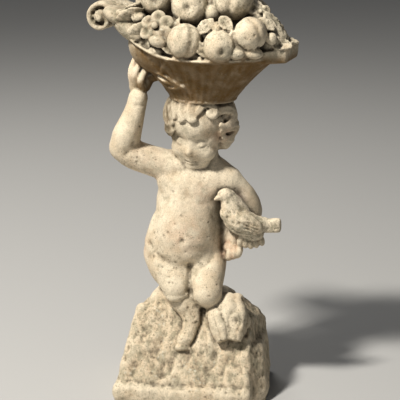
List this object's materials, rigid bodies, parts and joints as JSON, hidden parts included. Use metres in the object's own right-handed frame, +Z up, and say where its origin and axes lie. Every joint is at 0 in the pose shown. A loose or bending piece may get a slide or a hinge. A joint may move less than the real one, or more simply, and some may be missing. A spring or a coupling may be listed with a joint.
{
  "type": "garden statue",
  "caption": "One-piece cast stone garden statue: a curly-headed putto on a rock steadies a basket of fruit on its head and holds a dove under its other arm.",
  "frame": {"origin": "on the flat underside of the base, under the middle of the figure", "axes": "+Z up, -Y the way the figure faces, +X towards the figure's left hand, which holds the dove"},
  "size_m": [0.495, 0.293, 0.9974],
  "materials": {
    "weathered_stone": "weathered, pitted cream cast stone with grey lichen"
  },
  "bodies": {
    "root": {"cherub_statue": "weathered_stone"}
  },
  "joints": []
}
